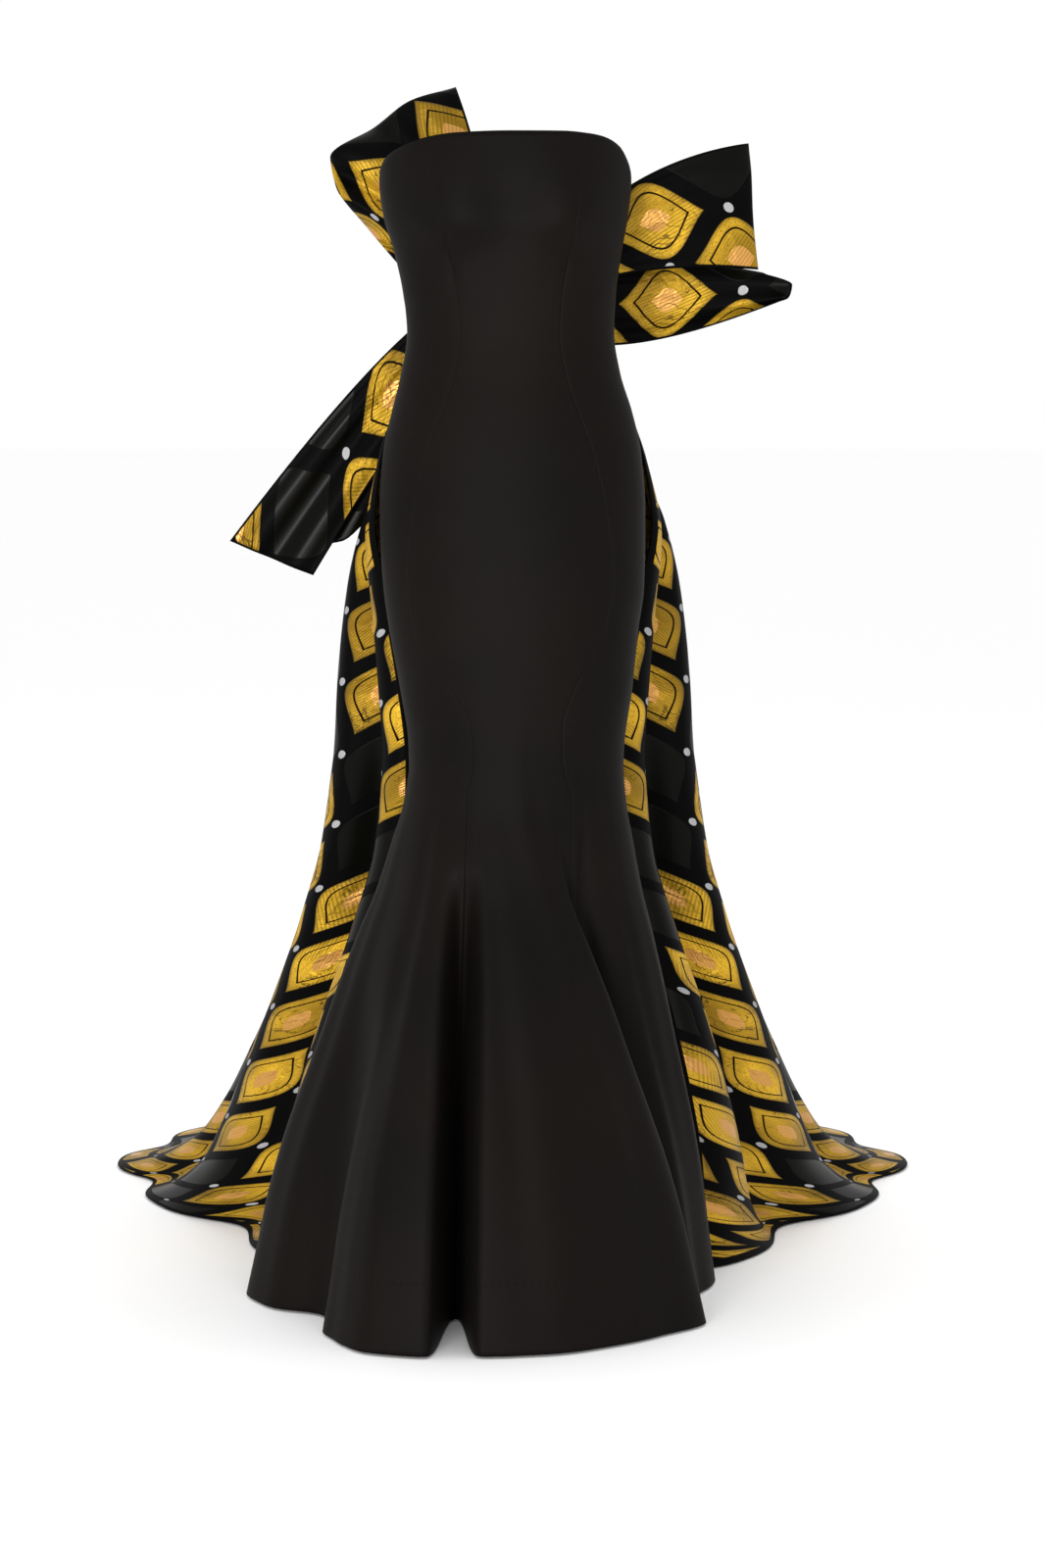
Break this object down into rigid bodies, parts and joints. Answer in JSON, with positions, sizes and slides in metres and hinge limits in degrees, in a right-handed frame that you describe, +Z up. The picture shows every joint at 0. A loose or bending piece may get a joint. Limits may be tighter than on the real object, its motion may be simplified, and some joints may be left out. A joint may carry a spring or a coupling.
{
  "type": "strapless gown",
  "caption": "Strapless fitted gown, flared in deep folds below the knee, with a patterned open overskirt train and a large bow at the back waist",
  "frame": {"origin": "centre of the waist ring, where the wearer holds the gown up, 1.12 m above the floor", "axes": "+X to the right as the front is seen, +Y to the back, +Z up"},
  "size_m": [1.0788, 1.4583, 1.4042],
  "materials": {
    "crepe": "matt black crepe",
    "brocade": "gold patches woven on a black ground"
  },
  "bodies": {
    "root": {"gown_centre_front": "crepe", "gown_side_front_left": "crepe", "gown_side_front_right": "crepe", "gown_side_back_left": "crepe", "gown_side_back_right": "crepe", "gown_centre_back_left": "crepe", "gown_centre_back_right": "crepe", "train_side_left": "brocade", "train_back_left": "brocade", "train_back_right": "brocade", "train_side_right": "brocade", "bow_knot": "brocade", "bow_loop_right": "brocade", "bow_loop_left": "brocade", "bow_wing_right": "brocade", "bow_tail_left": "brocade", "bow_tail_under": "brocade"}
  },
  "joints": []
}
